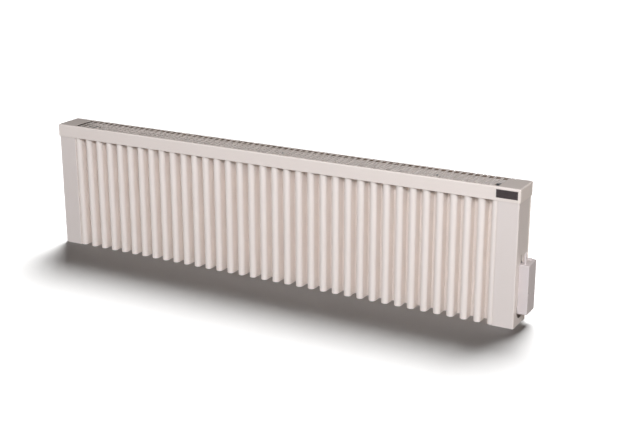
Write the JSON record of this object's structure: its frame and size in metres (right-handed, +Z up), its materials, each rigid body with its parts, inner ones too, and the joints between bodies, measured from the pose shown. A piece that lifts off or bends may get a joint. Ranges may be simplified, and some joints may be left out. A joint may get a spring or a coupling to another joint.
{
  "type": "electric radiator",
  "caption": "Low, long electric radiator with a fluted steel front, a slotted cap, a fireclay core and a radio receiver box with a short antenna on its right end.",
  "frame": {"origin": "under the middle of the base plate, half-way through the depth of the body, on the floor", "axes": "+X along the length towards the receiver, +Y from the fluted front to the wall, +Z up"},
  "size_m": [1.3257, 0.0856, 0.3335],
  "materials": {
    "coated_steel": "satin powder coat, warm white",
    "zinc_steel": "bright zinc plating",
    "fireclay": "fired clay, matt",
    "element_steel": "dull heat-toned steel",
    "white_ceramic": "unglazed",
    "phenolic": "moulded, semi-gloss",
    "brown_insulation": "heat-proof sleeve",
    "blue_insulation": "heat-proof sleeve",
    "earth_insulation": "heat-proof sleeve, green and yellow",
    "white_sheath": "smooth sheath",
    "white_plastic": "fine matt moulding",
    "black_rubber": "matt",
    "circuit_board": "lacquered laminate",
    "dark_moulding": "moulded cases",
    "badge_metal": "dark brushed"
  },
  "bodies": {
    "casing": {"front_panel": "coated_steel", "right_end_panel": "coated_steel", "left_end_panel": "coated_steel", "back_panel": "coated_steel", "top_cover": "coated_steel", "base_plate": "coated_steel", "side_screws": "zinc_steel", "base_screws": "zinc_steel", "cap_screws": "zinc_steel", "core_tray": "zinc_steel", "core_top_rail": "zinc_steel", "tray_supports": "zinc_steel", "core_end_plate_right": "zinc_steel", "core_end_plate_left": "zinc_steel", "tie_rods": "zinc_steel", "tie_rod_nuts": "zinc_steel", "earth_stud": "zinc_steel", "receiver_screws": "zinc_steel", "terminal_screws": "zinc_steel", "core_block_1": "fireclay", "core_block_2": "fireclay", "core_block_3": "fireclay", "core_block_4": "fireclay", "core_block_5": "fireclay", "heating_element": "element_steel", "element_pins": "element_steel", "element_bushes": "white_ceramic", "terminal_block": "white_ceramic", "overheat_limiter": "phenolic", "live_lead": "brown_insulation", "limiter_lead": "brown_insulation", "neutral_lead": "blue_insulation", "earth_lead": "earth_insulation", "receiver_cable": "white_sheath", "receiver_cover": "white_plastic", "receiver_base": "white_plastic", "receiver_antenna": "white_plastic", "receiver_terminals": "white_plastic", "supply_grommet": "black_rubber", "receiver_board": "circuit_board", "relay": "dark_moulding", "capacitor": "dark_moulding", "button_switch": "dark_moulding", "badge_plate": "badge_metal"},
    "terminal_lid": {"terminal_lid": "white_plastic"},
    "pairing_button": {"pairing_button": "white_plastic"}
  },
  "joints": [
    {"name": "lid_pull", "type": "slide", "parent": "casing", "child": "terminal_lid", "axis": [1, 0, 0], "range_m": [0, 0.03]},
    {"name": "button_press", "type": "slide", "parent": "casing", "child": "pairing_button", "axis": [0, 0, -1], "range_m": [0, 0.0015], "stiffness_N_per_m": 400}
  ]
}
